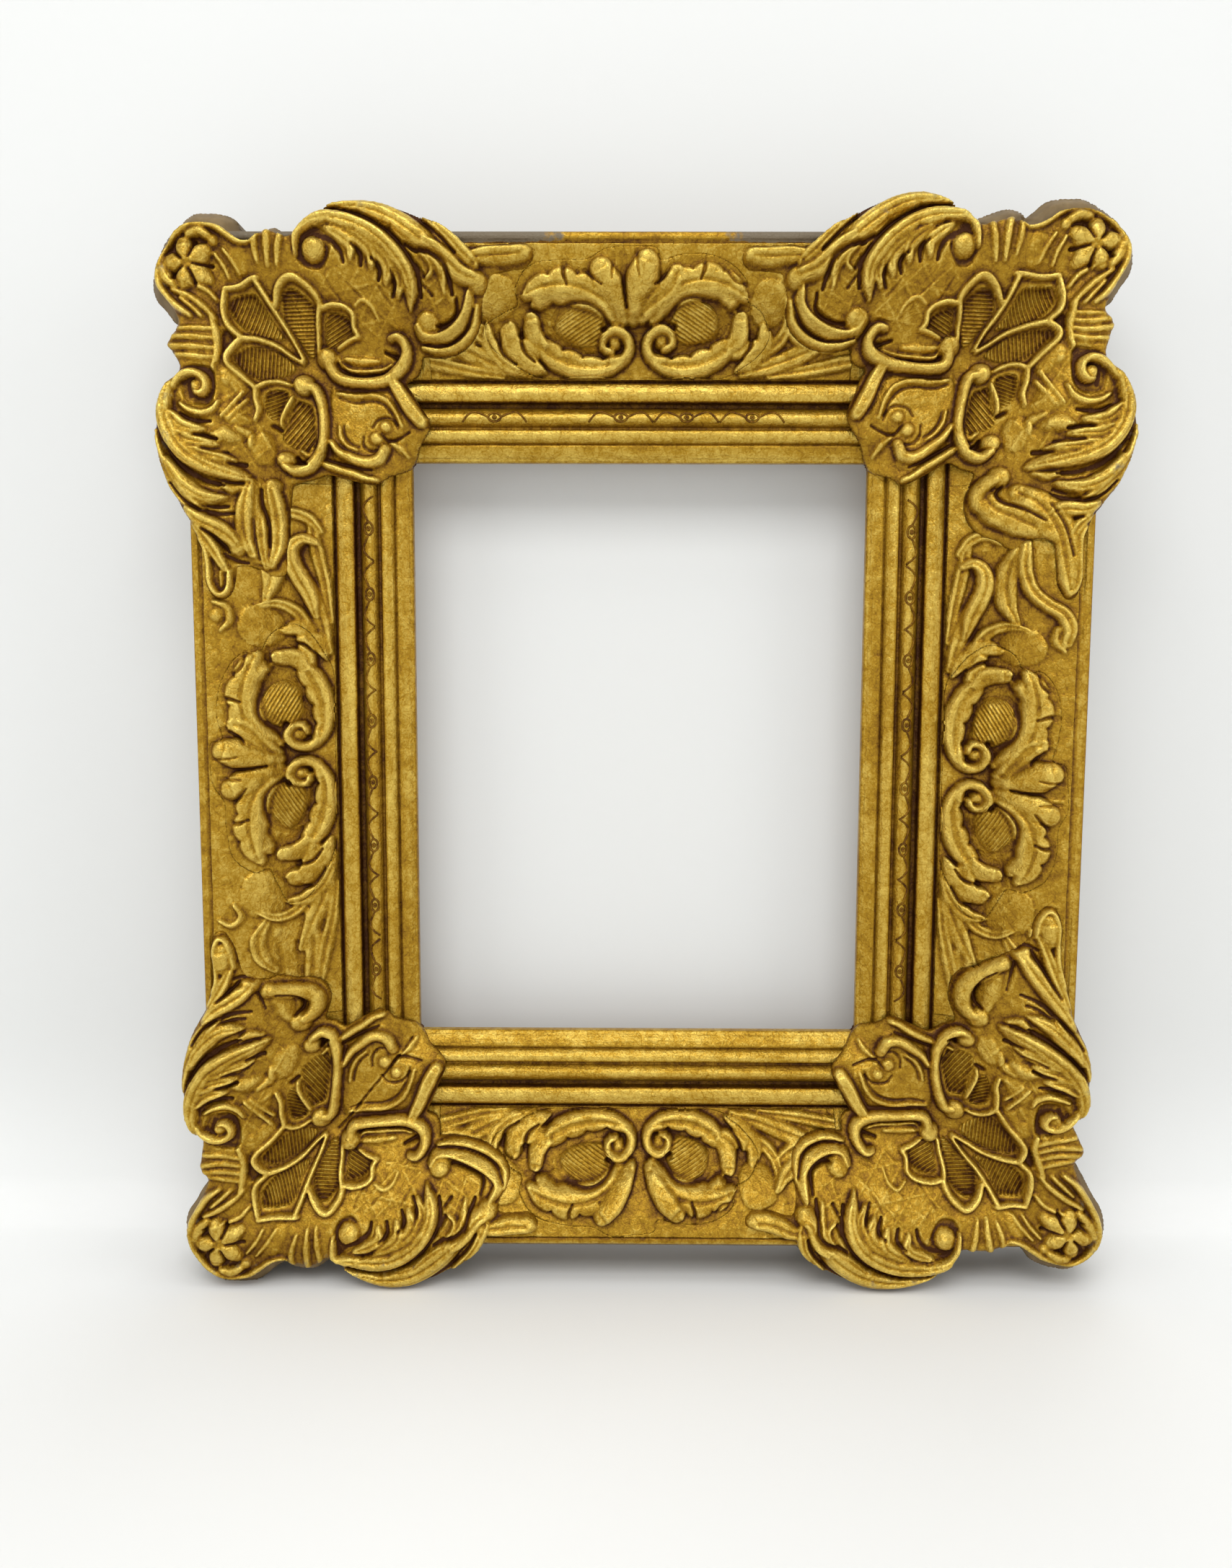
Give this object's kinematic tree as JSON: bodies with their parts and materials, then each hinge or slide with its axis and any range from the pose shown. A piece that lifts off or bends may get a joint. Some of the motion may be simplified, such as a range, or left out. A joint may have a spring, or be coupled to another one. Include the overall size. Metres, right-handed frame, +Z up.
{
  "type": "ornate picture frame",
  "caption": "Deep gilded picture frame with scalloped carved corners, shell and acanthus castings, a patterned inner moulding, and a rabbet for a 10 by 8 inch picture",
  "frame": {"origin": "centre of the picture opening, on the rabbet ledge that the picture's face bears on", "axes": "+X to the viewer's right, +Z up the frame, -Y towards the viewer, +Y towards the wall"},
  "size_m": [0.3859, 0.0613, 0.4411],
  "materials": {
    "gilt_rail": "aged gilding over wood",
    "gilt_strip": "aged gilding over wood",
    "toned_block": "dull brown toned wood",
    "gilt_casting": "aged gilding over moulded composition",
    "spline_wood": "bare aged wood",
    "strap_steel": "dull plated",
    "ring_steel": "dull plated wire",
    "screw_steel": "dull",
    "screw_brass": "tarnished",
    "button_brass": "tarnished",
    "brad_steel": "dull"
  },
  "bodies": {
    "body": {"rail_top": "gilt_rail", "rail_bottom": "gilt_rail", "rail_left": "gilt_rail", "rail_right": "gilt_rail", "sight_strip_top": "gilt_strip", "sight_strip_bottom": "gilt_strip", "sight_strip_left": "gilt_strip", "sight_strip_right": "gilt_strip", "corner_block_top_left": "toned_block", "corner_block_top_right": "toned_block", "corner_block_bottom_left": "toned_block", "corner_block_bottom_right": "toned_block", "side_ear_top_left": "toned_block", "side_ear_top_right": "toned_block", "side_ear_bottom_left": "toned_block", "side_ear_bottom_right": "toned_block", "end_ear_top_left": "toned_block", "end_ear_top_right": "toned_block", "end_ear_bottom_left": "toned_block", "end_ear_bottom_right": "toned_block", "corner_casting_top_left": "gilt_casting", "corner_casting_top_right": "gilt_casting", "corner_casting_bottom_left": "gilt_casting", "corner_casting_bottom_right": "gilt_casting", "centre_casting_top": "gilt_casting", "centre_casting_bottom": "gilt_casting", "centre_casting_left": "gilt_casting", "centre_casting_right": "gilt_casting", "mitre_spline_top_left": "spline_wood", "mitre_spline_top_right": "spline_wood", "mitre_spline_bottom_left": "spline_wood", "mitre_spline_bottom_right": "spline_wood", "hanger_strap_left": "strap_steel", "hanger_strap_right": "strap_steel", "hanger_screws": "screw_steel", "turn_button_screws": "screw_brass", "strip_brads": "brad_steel"},
    "ring_left": {"hanger_ring_left": "ring_steel"},
    "ring_right": {"hanger_ring_right": "ring_steel"},
    "button_top": {"turn_button_top": "button_brass"},
    "button_bottom": {"turn_button_bottom": "button_brass"},
    "button_left": {"turn_button_left": "button_brass"},
    "button_right": {"turn_button_right": "button_brass"}
  },
  "joints": [
    {"name": "ring_left_hinge", "type": "hinge", "parent": "body", "child": "ring_left", "pos_m": [-0.13925, 0.01158, 0.0658], "axis": [1, 0, 0], "range_deg": [0, 178]},
    {"name": "ring_right_hinge", "type": "hinge", "parent": "body", "child": "ring_right", "pos_m": [0.13925, 0.01158, 0.0658], "axis": [1, 0, 0], "range_deg": [0, 178]},
    {"name": "button_top_pivot", "type": "hinge", "parent": "body", "child": "button_top", "pos_m": [0, 0.009, 0.14285], "axis": [0, 1, 0], "range_deg": [0, 90]},
    {"name": "button_bottom_pivot", "type": "hinge", "parent": "body", "child": "button_bottom", "pos_m": [0, 0.009, -0.14285], "axis": [0, 1, 0], "range_deg": [-90, 0]},
    {"name": "button_left_pivot", "type": "hinge", "parent": "body", "child": "button_left", "pos_m": [-0.11625, 0.009, 0.05118], "axis": [0, 1, 0], "range_deg": [-90, 0]},
    {"name": "button_right_pivot", "type": "hinge", "parent": "body", "child": "button_right", "pos_m": [0.11625, 0.009, 0.05118], "axis": [0, 1, 0], "range_deg": [0, 90]}
  ]
}
